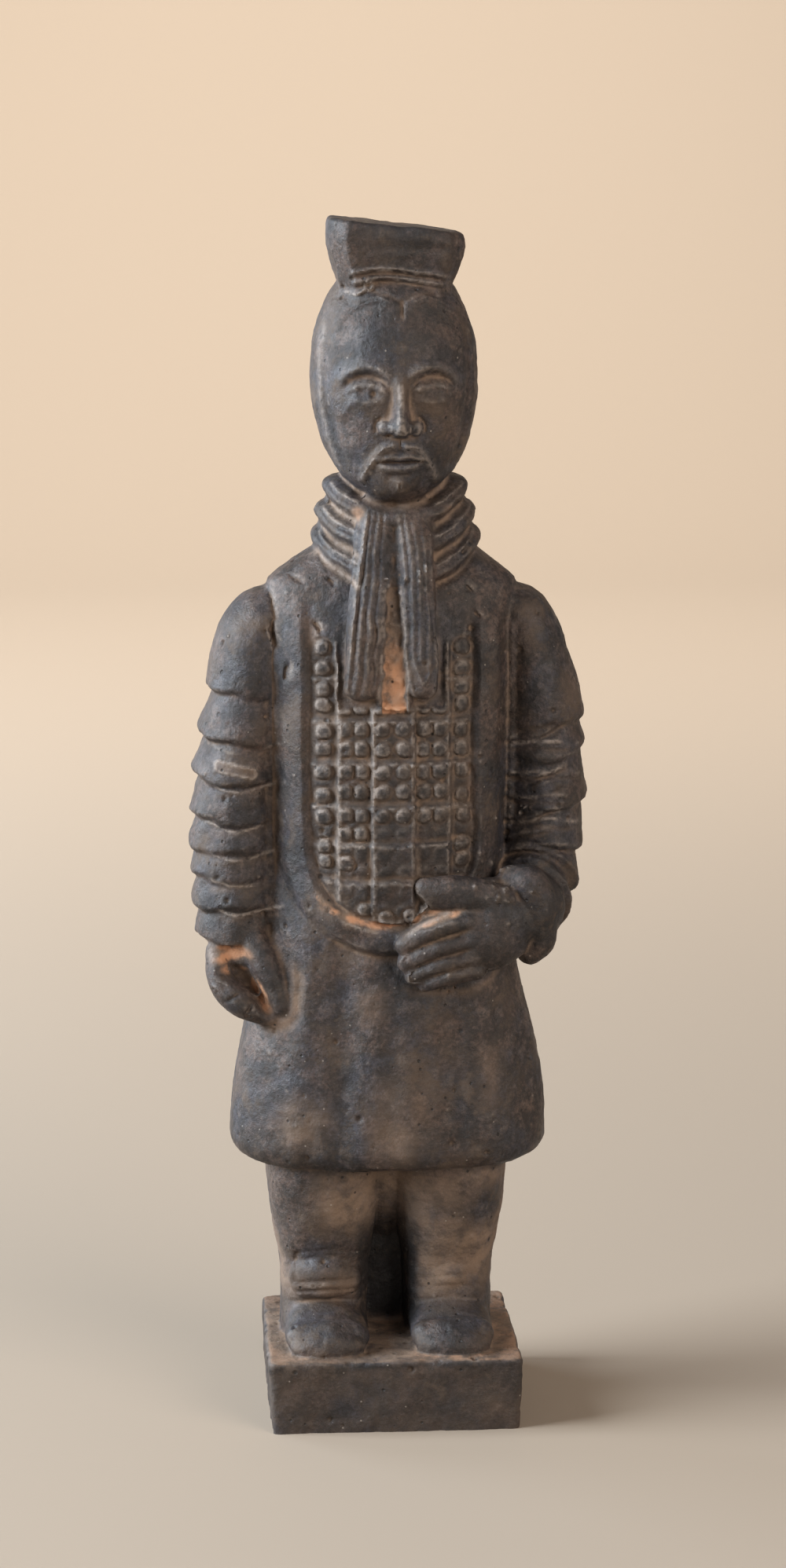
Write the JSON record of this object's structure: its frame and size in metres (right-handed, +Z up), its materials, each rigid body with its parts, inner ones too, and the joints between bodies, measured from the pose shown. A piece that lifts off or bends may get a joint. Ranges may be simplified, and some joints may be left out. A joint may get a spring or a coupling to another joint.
{
  "type": "clay warrior figurine",
  "caption": "Small solid fired-clay figurine of an armoured officer in a flat cap, one arm hanging and one hand laid on the belly, standing on a square plinth made with it.",
  "frame": {"origin": "middle of the plinth's flat underside, on the surface that it stands on", "axes": "+Z up along the figure's height; -Y is the way the figure faces; +X is the figure's left, the viewer's right"},
  "size_m": [0.0498, 0.029, 0.1503],
  "materials": {
    "fired_clay": "matt, dark smoked fired clay"
  },
  "bodies": {
    "root": {"warrior_figurine": "fired_clay"}
  },
  "joints": []
}
